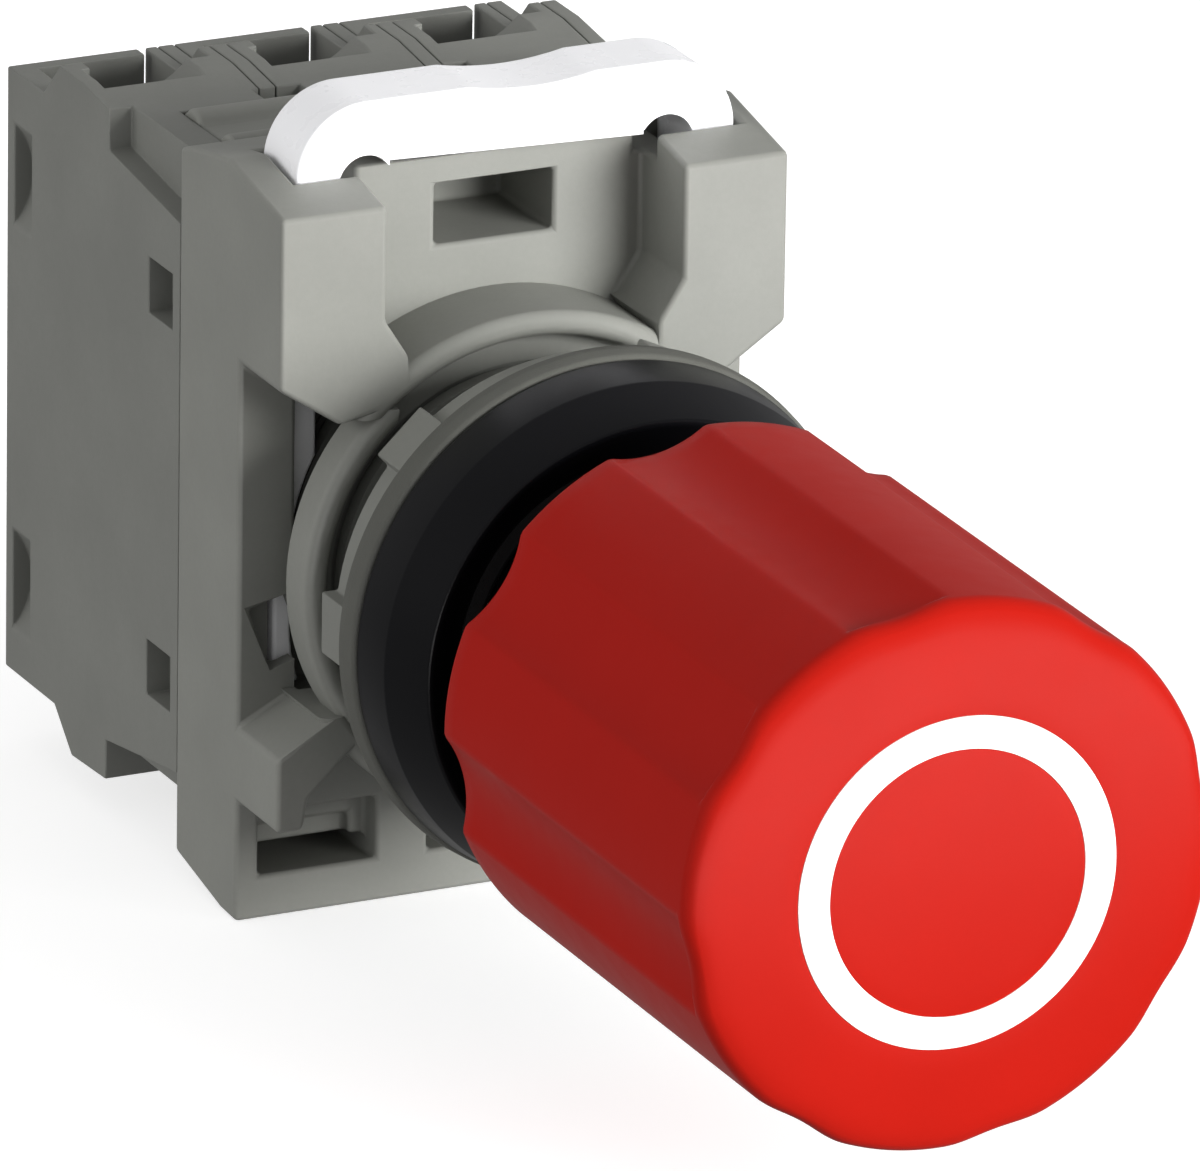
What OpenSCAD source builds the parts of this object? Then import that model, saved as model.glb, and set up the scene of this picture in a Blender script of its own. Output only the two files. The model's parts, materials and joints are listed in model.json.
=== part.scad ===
// Emergency stop button for a 22 mm panel hole: an operator with a fluted twist-to-release
// head, a clip-on holder with a sliding lock yoke, and three normally closed contact blocks.
// The button's axis is Y. The panel's front face is the plane y = 0, and the head is at -Y.

/* [Head] */
// Radius of the head over its lands
head_r = 15.2; // [13:0.1:19]
// Length of the head from its rear edge to its front face
head_len = 30.9; // [25:0.1:38]
// Gap between the bezel and the head at rest
head_gap = 6.1; // [5.8:0.1:8]
// Wall of the head's skirt
head_wall = 2; // [1.6:0.1:2.6]
// Length of the front rim, where the flutes stop
rim_len = 2; // [1.6:0.1:3]
// Radius that rounds the edge of the rim
rim_round = 1; // [0.6:0.1:1.4]
// Number of flutes
flute_count = 8; // [6:1:10]
// Half of the angle that a flute takes up
flute_half_angle = 10.75; // [8:0.25:12]
// Depth of a flute below its edges
flute_depth = 0.64; // [0.4:0.02:0.9]
// Angle of the first flute
flute_phase = 11.5; // [0:0.5:45]
// Outer radius of the ring mark on the face
mark_r = 9.17; // [7:0.01:11]
// Width of the ring mark
mark_w = 1.82; // [1:0.01:2.5]
// Depth of the ring mark
mark_depth = 0.6; // [0.4:0.1:1]

/* [Travel] */
// How far the head is pushed in
push_travel = 5.5; // [4.5:0.1:5.6]
// How far the head is twisted to release it
twist_angle = 45; // [30:5:60]

/* [Bezel, gasket and collar] */
// Length of the bezel along the axis
bezel_len = 6; // [5.5:0.1:8]
// Length of the bezel's outer band behind the chamfer
bezel_band = 3; // [2:0.1:3.5]
// How far the bezel stands out past the neck
bezel_over = 3.75; // [3.4:0.05:5]
// How far the bezel's front edge stands out past the neck
bezel_edge_over = 2.2; // [1.8:0.05:2.6]
// Thickness of the rubber gasket
gasket_t = 2; // [1.5:0.1:3]
// How far the gasket stands out past the neck
gasket_over = 4; // [3.6:0.1:5]
// Thickness of the locating collar
collar_t = 3.6; // [2.5:0.1:5]
// How far the collar stands out past the neck
collar_over = 2.5; // [2:0.1:3]
// Height of the lugs on the collar
lug_h = 0.7; // [0.5:0.1:1.3]

/* [Neck and spindle] */
// Radius of the neck that goes through the panel
neck_r = 11; // [10:0.05:13.2]
// Length of the neck behind the panel's front face
neck_len = 16; // [14:0.5:19]
// Wall of the neck
neck_wall = 1.35; // [1.2:0.05:1.6]
// Radius of the spindle
spindle_r = 3; // [2.5:0.1:3.6]
// Thickness of the web that guides the spindle
web_t = 5; // [4.5:0.1:6]
// Radius of a latch ball
ball_r = 1.2; // [1:0.05:1.4]
// Wire radius of the return spring
spring_wire_r = 0.55; // [0.4:0.05:0.7]
// Number of turns of the return spring
spring_turns = 7; // [5:1:10]

/* [Holder] */
// Width of the holder
holder_w = 30; // [29:0.1:36]
// Height of the holder above the axis, at the front of its ears
holder_top = 21.6; // [20:0.1:26]
// Height of the holder below the axis
holder_bottom = 20.4; // [19:0.1:24]
// Gap between the panel's front face and the holder
panel_gap = 3.7; // [1:0.1:6]
// How far the ears and the ring stand in front of the plate
ear_depth = 5.4; // [4:0.1:6.5]
// Thickness of the front plate
plate_t = 0.9; // [0.8:0.1:1.2]
// Thickness of the slab at the back
slab_t = 4.6; // [4:0.1:6]
// Half of the gap between the ears
ear_inner = 8.8; // [8:0.1:10]
// Radial gap between the collar's radius and the inside of the ring
ring_gap = -0.6; // [-0.8:0.1:0.5]
// Wall of the ring
ring_wall = 1.4; // [1:0.1:2]

/* [Lock yoke] */
// Width of a leg of the yoke
leg_w = 2.47; // [2:0.01:3]
// Depth of the bar of the yoke
bar_depth = 4.5; // [3.5:0.1:5]
// Height of the bar of the yoke
bar_h = 3.7; // [3:0.1:5]
// Thickness of the yoke behind the front plate
yoke_t = 2; // [1.6:0.1:2.2]
// How far the yoke is lifted to unlock it
yoke_travel = 4; // [3:0.1:5]
// Sideways offset of the yoke from the axis
yoke_shift = 0.65; // [0:0.05:0.8]

/* [Contact blocks] */
// Pitch of the contact blocks
block_pitch = 10; // [9.6:0.1:12]
// Depth of a contact block along the axis
block_depth = 23.4; // [21:0.1:28.1]
// Height of a contact block above the axis, at the back
block_top = 19; // [18:0.1:21]
// Height of a contact block below the axis, at the back
block_bottom = 16.2; // [15.5:0.1:19]
// Wall of a contact block
block_wall = 1; // [0.8:0.1:1.2]
// How far the front corners of a block are set in from its sides
block_inset = 1.4; // [1:0.1:1.6]
// Half of the distance between a block's two contact points
contact_reach = 4.6; // [4:0.1:4.8]

/* [Clearances] */
// Radial clearance of the neck in the holder
neck_fit = 0.06; // [0.03:0.01:0.1]
// Radial clearance of the spindle in the web and the hub
spindle_fit = 0.05; // [0.03:0.01:0.1]
// Clearance beside a part that slides
slide_gap = 0.25; // [0.15:0.05:0.3]
// Clearance between parts that only seat together
seat_gap = 0.05; // [0.02:0.01:0.1]

/* [Hidden] */
$fn = 64;
cut = 0.5;
grey = "#9b9c95";
dark_grey = "#5f605a";
red = "#b8261a";
black = "#1a1a1d";
brass = "#b79650";
steel = "#b4b6b8";

// Places along the axis, from the panel's front face
gasket_y = -collar_t;
bezel_y = gasket_y - gasket_t;
bezel_front_y = bezel_y - bezel_len;
flange_t = 3;
flange_y = bezel_y - flange_t;
head_rear_y = bezel_front_y - head_gap;
head_face_y = head_rear_y - head_len;
rim_y = head_face_y + rim_len;

// Neck, web and spindle
neck_bore_r = neck_r - neck_wall;
hub_r = neck_bore_r - 0.3;
// The neck is thinner under the gasket and the collar, which stay clear of the panel's hole
relief_r = neck_r - 0.2;
hub_wall = 1.8;
hub_bore_r = hub_r - hub_wall;
flange_r = neck_r + 2;
web_front_y = -3;
web_rear_y = web_front_y + web_t;
ball_y = web_front_y + web_t / 2;
groove_r = spindle_r - 0.6;
latch_wire_r = 0.48;
// Radius of the middle of the latch spring's wire, just outside the balls
latch_r = spindle_r + spindle_fit + 2 * ball_r + latch_wire_r + 0.02;
latch_channel = 0.65;
rack_pitch = 1.6;
rack_w = 0.7;
rack_depth = 0.35;
neck_tip = 0.6;
clip_t = 0.6;
clip_y = web_rear_y + seat_gap;
hub_rear_y = web_front_y - push_travel - 1;
hub_plate_t = 2;
hub_plate_y = head_rear_y - 12.3;
spindle_collar_t = 1.3;
spindle_collar_r = spindle_r + 1.4;
screw_hole_r = 1.25;
screw_head_t = 1.9;
seat_t = 0.6;
pusher_hole_r = 1.5;
pusher_t = 2.5;
pusher_r = neck_bore_r - 0.75;
pusher_boss = 2.2;

// Holder
holder_y = panel_gap;
plate_y = holder_y + ear_depth;
chamber_y = plate_y + plate_t;
chamber_gap = yoke_t + 2 * slide_gap;
slab_y = chamber_y + chamber_gap;
block_y = slab_y + slab_t;
half_w = holder_w / 2;
ring_in_r = neck_r + collar_over + ring_gap;
ring_out_r = ring_in_r + ring_wall;
window_wall = 1.2;
ring_floor_depth = 1.9;
ring_floor_t = 0.7;
ring_fillet = 0.8;
ring_side_drop = 0.9;
ring_side_depth = 2.6;
ring_side_low = -7.2;
ring_side_high = 9.6;
ring_side_x = 8;
crown_rise = 1.3;
arm_top = 9.2;
arm_bottom = 13.4;
ear_foot = 11.9;

// The pusher's rear face stops short of the contact blocks when the head is pressed
pusher_rear_y = block_y - push_travel - 0.3;
pusher_y = pusher_rear_y - pusher_t;
spindle_end_y = pusher_rear_y - 1.2;

// Head
flute_half_w = head_r * sin(flute_half_angle);
flute_cut_r = (flute_half_w * flute_half_w + flute_depth * flute_depth) / (2 * flute_depth);
flute_cut_x = head_r * cos(flute_half_angle) - flute_depth + flute_cut_r;
rim_flute_depth = 0.3;
rim_cut_r = (flute_half_w * flute_half_w + rim_flute_depth * rim_flute_depth) / (2 * rim_flute_depth);
rim_cut_x = head_r * cos(flute_half_angle) - rim_flute_depth + rim_cut_r;
head_bore_r = head_r - head_wall;
head_front_wall = 4;
head_inside_y = head_face_y + head_front_wall;
face_edge_y = head_face_y + 0.75;

// Lock yoke
yoke_y = chamber_y + slide_gap;
bar_y = holder_y + 4;
leg_x = half_w - 2 - leg_w;
bar_z = holder_top + 0.9;
bar_rear_y = bar_y + bar_depth;
yoke_foot_z = -7.4;
slot_gap = 0.65;

// Contact blocks
back_y = block_y + block_depth;
step_y = block_y + 9.6;
block_w = block_pitch - seat_gap;
cover_t = 1;
// Depth of the square windows in the sides of a block
side_window = 1.5;
front_top = holder_top - 0.8;
front_bottom = holder_bottom - 3.9;
wire_front_y = back_y - 8.6;
wire_back_y = back_y - 1;
inner_x = block_w / 2 - block_wall;
plunger_y = pusher_rear_y + 0.3;
plunger_len = 17.5;
plunger_end_y = plunger_y + plunger_len;
plunger_half = 1.2;
// Half of the height of the room inside a block
roof = 6;
bridge_y = plunger_y + 11;
bridge_t = 0.8;
contact_face_y = bridge_y - seat_gap;
terminal_z = 9.6;
screw_r = 1.5;
screw_head_r = 2.3;
screw_head_len = 1.8;
screw_shift = -0.15;
strip_t = 0.7;
clamp_t = 1.4;
clamp_y = wire_front_y + 2.2;
block_spring_r = 1.05;
block_wire_r = 0.2;
ridge_h = 2.2;
hood_half = half_w - 3.5;
hood_len = 7.6;
hood_z = front_top - 1.1;

// A slab between two places along the axis; the outline is drawn as (x, z)
module slab(from_y, to_y) {
    translate([0, to_y, 0])
        rotate([90, 0, 0])
            linear_extrude(to_y - from_y)
                children();
}

// A body of revolution about the axis; the outline is drawn as (radius, y)
module turned() {
    rotate([-90, 0, 0])
        rotate_extrude($fn = 96)
            children();
}

// A round bar along the axis
module rod(from_y, to_y, r) {
    translate([0, from_y, 0])
        rotate([-90, 0, 0])
            cylinder(h = to_y - from_y, r = r);
}

// A tube along the axis
module tube(from_y, to_y, r, bore) {
    difference() {
        rod(from_y, to_y, r);
        rod(from_y - cut, to_y + cut, bore);
    }
}

// A box between two corners
module box(x0, x1, y0, y1, z0, z1) {
    translate([x0, y0, z0])
        cube([x1 - x0, y1 - y0, z1 - z0]);
}

// A side profile, drawn as (y, z), with a width along X
module across(x0, x1) {
    translate([x0, 0, 0])
        rotate([90, 0, 90])
            linear_extrude(x1 - x0)
                children();
}

// Places copies round the axis
module around(count, phase = 0) {
    for (i = [0 : count - 1])
        rotate([0, -phase - i * 360 / count, 0])
            children();
}

// A helical spring along the axis, swept as a tube of flat facets
module spring(from_y, to_y, mean_r, wire_r, turns) {
    sides = 8;
    steps = 14 * turns;
    rise = to_y - from_y - 2 * wire_r;
    rings = [
        for (i = [0 : steps])
            let (a = 360 * turns * i / steps, y = from_y + wire_r + rise * i / steps)
                [for (j = [0 : sides - 1])
                    let (b = 360 * j / sides, r = mean_r + wire_r * cos(b))
                        [r * cos(a), y + wire_r * sin(b), r * sin(a)]]
    ];
    points = [for (ring = rings) for (p = ring) p];
    skin = [
        for (i = [0 : steps - 1])
            for (j = [0 : sides - 1])
                let (k = (j + 1) % sides)
                    [i * sides + j, i * sides + k, (i + 1) * sides + k, (i + 1) * sides + j]
    ];
    first = [for (j = [sides - 1 : -1 : 0]) j];
    last = [for (j = [0 : sides - 1]) steps * sides + j];
    polyhedron(points, concat(skin, [first], [last]));
}

// ---- Head ----

module flutes(from_y, to_y, x, r) {
    around(flute_count, flute_phase)
        translate([x, 0, 0])
            rod(from_y, to_y, r);
}

module red_head() {
    color(red)
        difference() {
            turned()
                polygon([
                    [0, head_face_y],
                    [mark_r, head_face_y + 0.15],
                    [head_r - rim_round - 0.4, face_edge_y - 0.25],
                    for (a = [0 : 15 : 90])
                        [head_r - rim_round + rim_round * sin(a),
                         face_edge_y + rim_round - rim_round * cos(a)],
                    [head_r, head_rear_y],
                    [head_bore_r, head_rear_y],
                    [head_bore_r, head_inside_y],
                    [0, head_inside_y],
                ]);
            flutes(rim_y, head_rear_y + cut, flute_cut_x, flute_cut_r);
            flutes(head_face_y - cut, rim_y + cut, rim_cut_x, rim_cut_r);
            mark_groove(0);
        }
}

// The ring-shaped groove in the face, or the ring that fills it
module mark_groove(gap) {
    tube(head_face_y + (gap > 0 ? 0.08 : -1), head_face_y + 0.15 + mark_depth - gap,
         mark_r - gap, mark_r - mark_w + gap);
}

module head_ring_mark() {
    color("white")
        mark_groove(0.01);
}

module head_hub() {
    color(black)
        difference() {
            union() {
                rod(head_inside_y + seat_gap, hub_rear_y, hub_r);
                rod(head_inside_y + seat_gap, head_inside_y + 1.6, head_bore_r - seat_gap);
                around(flute_count / 2, flute_phase + 180 / flute_count)
                    box(hub_r - 1, head_bore_r - seat_gap, head_inside_y + 1, hub_plate_y, -0.8, 0.8);
            }
            rod(head_inside_y - cut, hub_plate_y - hub_plate_t, hub_bore_r);
            rod(hub_plate_y, hub_rear_y + cut, hub_bore_r);
            rod(hub_plate_y - hub_plate_t - cut, hub_plate_y + cut, spindle_r + spindle_fit);
        }
}

// A ring inside the hub whose two ramps lift the latch when the head is turned
module release_cam() {
    cam_len = 4.5;
    color("#c9c4b4")
        difference() {
            tube(hub_rear_y - cam_len, hub_rear_y, hub_bore_r - seat_gap, hub_bore_r - 0.75);
            for (side = [0, 180])
                rotate([0, side, 0])
                    translate([0, hub_rear_y + 0.6, 0])
                        rotate([0, 0, 24])
                            box(0, hub_r, -1.6, 3, -hub_r, hub_r);
        }
}

// ---- Spindle, pusher and springs ----

module spindle() {
    color(steel)
        difference() {
            union() {
                rod(hub_plate_y - hub_plate_t - seat_gap, spindle_end_y, spindle_r);
                rod(hub_plate_y + seat_gap, hub_plate_y + seat_gap + spindle_collar_t, spindle_collar_r);
            }
            tube(clip_y, clip_y + clip_t + 0.04, spindle_r + cut, groove_r);
            latch_groove();
            rod(hub_plate_y - hub_plate_t - cut, hub_plate_y + 5, screw_hole_r);
        }
}

// The groove that the latch balls drop into when the head is fully pressed
module latch_groove() {
    y = ball_y - push_travel;
    turned()
        polygon([
            [spindle_r - 0.5, y - 0.4],
            [spindle_r + cut, y - 0.9],
            [spindle_r + cut, y + 1.3],
            [spindle_r - 0.5, y + 0.8],
        ]);
}

module spindle_screw() {
    head_y = hub_plate_y - hub_plate_t - seat_gap;
    color(steel)
        difference() {
            union() {
                rod(head_y - screw_head_t, head_y, spindle_collar_r);
                rod(head_y - cut, head_y + 6, screw_hole_r - seat_gap / 2);
            }
            box(-spindle_collar_r - cut, spindle_collar_r + cut,
                head_y - screw_head_t - cut, head_y - screw_head_t + 0.8, -0.5, 0.5);
        }
}

module spindle_clip() {
    color(steel)
        difference() {
            tube(clip_y + 0.02, clip_y + clip_t + 0.02, spindle_r + 1.8, groove_r + 0.02);
            box(-groove_r * 0.85, groove_r * 0.85, clip_y - cut, clip_y + clip_t + cut, -spindle_r - 3, 0);
        }
}

module pusher() {
    color("#d8d4c8")
        difference() {
            union() {
                rod(pusher_y, pusher_rear_y, pusher_r);
                rod(pusher_y - pusher_boss, pusher_y + 0.1, spindle_r + 1.6);
            }
            rod(pusher_y - pusher_boss - cut, spindle_end_y + seat_gap, spindle_r + 0.02);
            around(4, 45)
                translate([pusher_r * 0.68, 0, 0])
                    rod(pusher_y - cut, pusher_rear_y + cut, pusher_hole_r);
        }
}

module return_spring() {
    color(steel)
        spring(hub_plate_y + seat_gap, web_front_y - seat_t - seat_gap,
               spindle_collar_r + 0.35 + spring_wire_r, spring_wire_r, spring_turns);
}

module spring_seat() {
    color(steel)
        tube(web_front_y - seat_t, web_front_y, hub_bore_r - 1.3, spindle_r + 0.6);
}

// ---- Bezel, seals and operator body ----

module bezel() {
    band_y = bezel_y - bezel_band;
    outer_r = neck_r + bezel_over;
    edge_r = neck_r + bezel_edge_over;
    dish_r = neck_r - 0.3;
    color(black)
        turned()
            polygon([
                [flange_r + seat_gap, bezel_y],
                [outer_r - 0.25, bezel_y],
                [outer_r, bezel_y - 0.25],
                [outer_r - 0.35, band_y],
                [edge_r, bezel_front_y],
                [edge_r - 0.3, bezel_front_y],
                [dish_r, flange_y - 1.3],
                [dish_r, flange_y - seat_gap],
                [flange_r + seat_gap, flange_y - seat_gap],
            ]);
}

module front_seal() {
    outer_r = neck_r - 0.3 - seat_gap;
    color("#26262a")
        turned()
            polygon([
                [hub_r + 0.04, flange_y - seat_gap - 0.1],
                [hub_r + 0.04, flange_y - 0.7],
                [hub_r + 0.5, flange_y - 1.2],
                [outer_r, flange_y - 1.2],
                [outer_r, flange_y - seat_gap - 0.1],
            ]);
}

module panel_gasket() {
    color("#55564f")
        turned()
            polygon([
                [relief_r + seat_gap, gasket_y],
                [neck_r + gasket_over - 0.3, gasket_y],
                [neck_r + gasket_over, gasket_y - 0.3],
                [neck_r + gasket_over, gasket_y - gasket_t + 0.3],
                [neck_r + gasket_over - 0.3, gasket_y - gasket_t],
                [relief_r + seat_gap, gasket_y - gasket_t],
            ]);
}

// The collar that centres the gasket, with lugs and flats on its rim
module locating_collar() {
    collar_r = neck_r + collar_over;
    lug_half_w = 1.75;
    lug_angles = [65, 133.5, 180, 245, 313.5];
    color(dark_grey)
        difference() {
            union() {
                turned()
                    polygon([
                        [relief_r + seat_gap, 0],
                        [collar_r - 0.3, 0],
                        [collar_r, -0.3],
                        [collar_r, gasket_y],
                        [relief_r + seat_gap, gasket_y],
                    ]);
                for (a = lug_angles)
                    rotate([0, -a, 0])
                        box(collar_r - 0.6, collar_r + lug_h, gasket_y, 0, -lug_half_w, lug_half_w);
            }
            rod(gasket_y - cut, cut, relief_r + seat_gap);
        }
}

module operator_body() {
    color(dark_grey)
        difference() {
            union() {
                rod(flange_y, 0, relief_r);
                rod(0, neck_len - neck_tip, neck_r);
                rod(flange_y, bezel_y, flange_r);
                rod(neck_len - neck_tip - 0.01, neck_len, neck_r - neck_tip);
            }
            rod(flange_y - cut, web_front_y, neck_bore_r);
            rod(web_rear_y, neck_len + cut, neck_bore_r);
            rod(web_front_y - cut, web_rear_y + cut, spindle_r + spindle_fit);
            ball_bores();
            tube(ball_y - 0.7, web_rear_y + cut, latch_r + latch_channel, latch_r - latch_channel);
            // The rack that the yoke locks in
            for (y = [panel_gap : rack_pitch : neck_len - rack_w - 0.8])
                tube(y, y + rack_w, neck_r + cut, neck_r - rack_depth);
        }
}

// The two radial bores that hold the latch balls
module ball_bores() {
    for (side = [0, 180])
        rotate([0, side, 0])
            translate([0, ball_y, 0])
                cylinder(h = latch_r, r = ball_r + seat_gap);
}

module latch_balls() {
    color(steel)
        for (side = [0, 180])
            rotate([0, side, 0])
                translate([0, ball_y, spindle_r + spindle_fit + ball_r])
                    sphere(r = ball_r);
}

// A split wire ring that presses the balls onto the spindle
module latch_ring_spring() {
    color(steel)
        translate([0, ball_y, 0])
            rotate([-90, 0, 0])
                rotate([0, 0, 12])
                    rotate_extrude(angle = 336, $fn = 72)
                        translate([latch_r, 0])
                            circle(r = latch_wire_r, $fn = 24);
}

// ---- Holder ----

// The outline of the ears and the lower arms, seen along the axis
module front_outline() {
    difference() {
        union() {
            for (side = [-1, 1])
                scale([side, 1]) {
                    polygon([
                        [half_w, holder_top + crown_rise],
                        [half_w, ear_foot],
                        [half_w - 3.6, ear_foot - 2.4],
                        [ring_in_r * cos(55), ring_in_r * sin(55)],
                        [ear_inner - 1.4, holder_top - 8.7],
                        [ear_inner, holder_top - 6.5],
                        [ear_inner, holder_top + crown_rise],
                    ]);
                    polygon([
                        [half_w, -arm_top],
                        [half_w - 3.8, -arm_top + 2.2],
                        [half_w - 4.6, -arm_top + 0.3],
                        [half_w - 1.9, -arm_top - 2.4],
                        [half_w - 1.6, -arm_bottom],
                        [half_w, -arm_bottom],
                    ]);
                }
        }
        circle(r = ring_in_r + ring_wall / 2, $fn = 128);
    }
}

// The section of the ring: a round rim, an inner wall and a floor that reaches the neck
module ring_section(inner_r, rear_y) {
    rim = ring_wall / 2;
    floor_y = holder_y + ring_floor_depth;
    polygon([
        for (a = [0 : 15 : 180])
            [inner_r + rim + rim * cos(a), holder_y + rim - rim * sin(a)],
        for (a = [0 : 22.5 : 90])
            [inner_r - ring_fillet + ring_fillet * cos(a), floor_y - ring_fillet + ring_fillet * sin(a)],
        [neck_r - cut, floor_y],
        [neck_r - cut, floor_y + ring_floor_t],
        [inner_r, floor_y + ring_floor_t],
        [inner_r, rear_y],
        [inner_r + ring_wall, rear_y],
    ]);
}

// The two parts of the ring that stand free beside the neck, between the ears and the arms
module ring_sides(low, high) {
    for (side = [-1, 1])
        scale([side, 1, 1])
            box(ring_side_x, ring_out_r + 1, holder_y - cut, plate_y + cut, low, high);
}

// The ring in front of the plate; it is narrower and shorter at its sides, where the legs show
module ring() {
    join = 0.4;
    difference() {
        turned()
            ring_section(ring_in_r, plate_y + 0.01);
        ring_sides(ring_side_low, ring_side_high);
    }
    intersection() {
        turned()
            ring_section(ring_in_r - ring_side_drop, holder_y + ring_side_depth);
        ring_sides(ring_side_low - join, ring_side_high + join);
    }
}

// The side profile of the holder, with its raised crown and sloped foot
module side_outline() {
    polygon([
        [holder_y, -holder_bottom],
        [holder_y, holder_top],
        [chamber_y + 0.8, holder_top + crown_rise],
        [block_y - 1.3, holder_top + 0.45],
        [block_y, holder_top],
        [block_y, -holder_bottom + 1.35],
        [block_y - 6, -holder_bottom + 0.1],
        [plate_y, -holder_bottom],
    ]);
}

module holder_frame() {
    color(grey)
        difference() {
            union() {
                intersection() {
                    across(-half_w, half_w)
                        side_outline();
                    union() {
                        slab(holder_y, plate_y + 0.01)
                            front_outline();
                        box(-half_w, half_w, plate_y, block_y, -holder_bottom - 1, holder_top + 2);
                    }
                }
                hood();
                ring();
            }
            neck_way();
            yoke_way();
            plate_windows();
            // Room under the yoke's bar and the top of its legs
            box(-ear_inner, ear_inner + yoke_shift, plate_y - cut, max(bar_rear_y + slide_gap, slab_y),
                holder_top + 0.5, holder_top + 4);
        }
}

// The cover over the front of the blocks, with two rounded bars
module hood() {
    bar_r = 1.3;
    difference() {
        union() {
            box(-hood_half, hood_half, block_y - 0.5, block_y + hood_len, hood_z, hood_z + 1);
            for (y = [block_y + 1.6, block_y + hood_len - bar_r])
                translate([-hood_half, y, holder_top - 0.3 - bar_r])
                    rotate([0, 90, 0])
                        cylinder(h = 2 * hood_half, r = bar_r, $fn = 48);
        }
        box(-half_w, half_w, block_y, back_y, hood_z - 4, hood_z);
    }
}

// The room that the hood takes out of the tops of the blocks
module hood_room(gap) {
    box(-hood_half - gap, hood_half + gap, block_y - cut, block_y + hood_len + gap, hood_z - gap, holder_top);
}

// The bore for the neck and the open middle of the plate in front of it
module neck_way() {
    rod(holder_y - cut, block_y + cut, neck_r + neck_fit);
    intersection() {
        box(-half_w + 3.4, half_w - 3.4, plate_y - cut, slab_y, yoke_foot_z - 0.5, 10.5);
        rod(plate_y - cut, slab_y, ring_out_r + 1.2);
    }
}

// The chamber and the slots that the yoke slides in
module yoke_way() {
    for (side = [-1, 1]) {
        inner = side * (leg_x - slot_gap) + yoke_shift;
        outer = side * (leg_x + leg_w + slide_gap) + yoke_shift;
        low = min(inner, outer);
        high = max(inner, outer);
        box(low, high, bar_y - slide_gap, slab_y, 13, holder_top + 4);
        box(low, high, chamber_y, slab_y, yoke_foot_z - 0.5, 13.5);
        box(side < 0 ? low : ear_inner - cut, side < 0 ? -ear_inner + cut : high,
            bar_y - slide_gap, slab_y, holder_top - 0.7, holder_top + 4);
    }
}

// Windows in the front plate: one above, three below, and a tilted square on each side
module plate_windows() {
    half = 3.5;
    box(-half, half, plate_y - cut, block_y - window_wall, 17, 20.5);
    // Each lower window has a ledge inside, above a deeper gap
    for (x = [-10.1, 0, 10.1]) {
        box(x - half, x + half, plate_y - cut, plate_y + 1.5, -17.9, -14.3);
        box(x - half, x + half, plate_y + 1, block_y - window_wall, -17.9, -16.9);
        box(x - half, x + half - 1, plate_y + 1, plate_y + 2.2, -17.9, -15.6);
    }
    for (side = [-1, 1])
        translate([side * 12.55, 0, -3.9])
            rotate([0, side * 18, 0])
                box(-1.15, 1.15, plate_y - cut, chamber_y + cut, -1.9, 1.9);
}

// ---- Lock yoke ----

// The yoke seen along the axis: a bar, rounded shoulders and two legs
module yoke_outline(foot_z) {
    shoulder_r = 4.1;
    outer = leg_x + leg_w;
    difference() {
        translate([-outer, foot_z])
            square([2 * outer, bar_z + bar_h - foot_z]);
        // Rounded shoulders
        for (side = [-1, 1])
            scale([side, 1])
                translate([outer - shoulder_r, bar_z + bar_h - shoulder_r])
                    difference() {
                        square([shoulder_r + 1, shoulder_r + 1]);
                        circle(r = shoulder_r, $fn = 64);
                    }
        // The gap between the legs, arched beside each leg
        translate([-leg_x + 3, foot_z - 1])
            square([2 * leg_x - 6, bar_z - foot_z + 1]);
        for (side = [-1, 1])
            scale([side, 1]) {
                translate([leg_x - 1.6, bar_z - 0.9])
                    circle(r = 1.6, $fn = 48);
                translate([leg_x - 3.2, foot_z - 1])
                    square([3.2, bar_z - 0.9 - foot_z + 1]);
            }
    }
}

module lock_yoke() {
    color("white")
        difference() {
            translate([yoke_shift, 0, 0])
                union() {
                    slab(bar_y, bar_rear_y)
                        yoke_outline(13.8);
                    slab(yoke_y, yoke_y + yoke_t)
                        yoke_outline(yoke_foot_z);
                }
            // Clear of the neck when down and when lifted
            for (z = [0, -yoke_travel])
                translate([0, 0, z])
                    rod(chamber_y, slab_y, neck_r + 0.3);
            // A hollow along the top of the bar for the finger
            translate([1.6, 0, bar_z + bar_h + 17.6])
                rod(bar_y - cut, bar_rear_y + cut, 18);
        }
}

// ---- Contact blocks ----

// The side profile of a contact block at its full width
module block_outline() {
    polygon([
        [back_y, -block_bottom],
        [back_y, block_top],
        [back_y - 4.9, block_top],
        [back_y - 7.1, block_top + ridge_h],
        [back_y - 10.2, block_top + ridge_h],
        [step_y, front_top],
        [step_y, front_top - 2.4],
        [block_y, front_top - 3.6],
        [block_y, -front_bottom + 2],
        [step_y, -front_bottom + 0.6],
        [step_y, -front_bottom - 1.7],
        [back_y - 9.2, -front_bottom - 1.9],
        [back_y - 6.8, -block_bottom],
    ]);
}

// The narrower front corners of a contact block
module block_front_outline() {
    polygon([
        [block_y, -front_bottom],
        [block_y, front_top],
        [step_y + 1, front_top],
        [step_y + 1, -front_bottom],
    ]);
}

// A contact block without its cavity; the cover's side is at +X
module block_solid(x) {
    translate([x, 0, 0])
        difference() {
            union() {
                across(-block_w / 2, block_w / 2)
                    block_outline();
                across(-block_w / 2 + block_inset, block_w / 2 - block_inset)
                    block_front_outline();
            }
            wire_entries();
            top_scoop();
            screw_bores();
            side_marks();
            translate([-x, 0, 0])
                hood_room(seat_gap);
        }
}

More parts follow.
